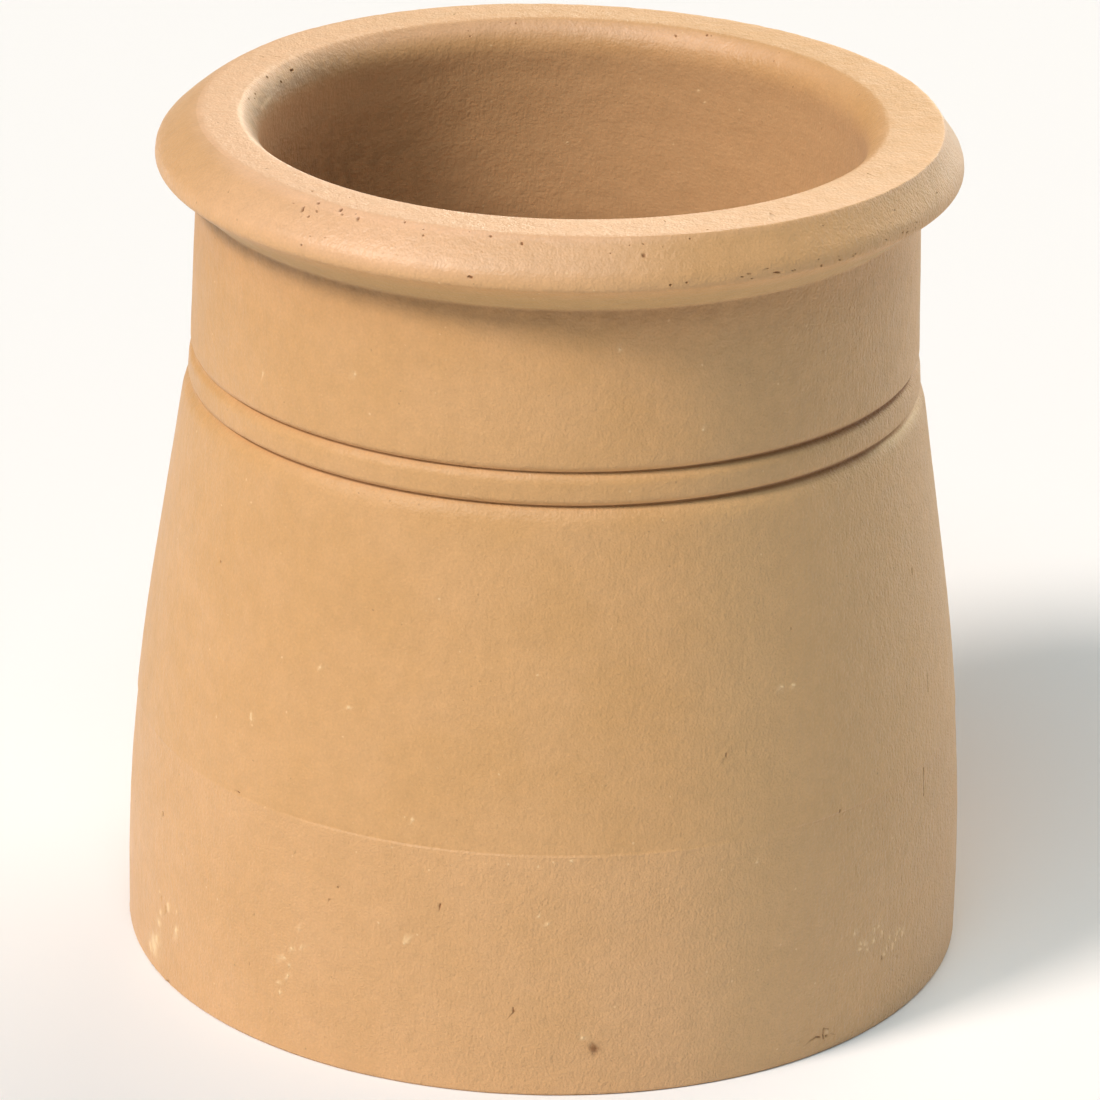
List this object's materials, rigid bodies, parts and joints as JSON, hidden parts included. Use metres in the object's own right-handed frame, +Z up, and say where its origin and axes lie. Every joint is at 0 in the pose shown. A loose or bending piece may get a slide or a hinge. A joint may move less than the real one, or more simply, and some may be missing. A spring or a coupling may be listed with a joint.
{
  "type": "chimney pot",
  "caption": "Roll-top chimney pot: a hollow turned clay pot with a rolled rim, a grooved neck and a body that flares to an open foot.",
  "frame": {"origin": "middle of the foot, on the ground that it stands on", "axes": "+Z up the flue, along the pot's axis of turning; X and Y are alike, because the pot is round"},
  "size_m": [0.297, 0.297, 0.3],
  "materials": {
    "fired_clay": "dry unglazed buff clay"
  },
  "bodies": {
    "root": {"chimney_pot": "fired_clay"}
  },
  "joints": []
}
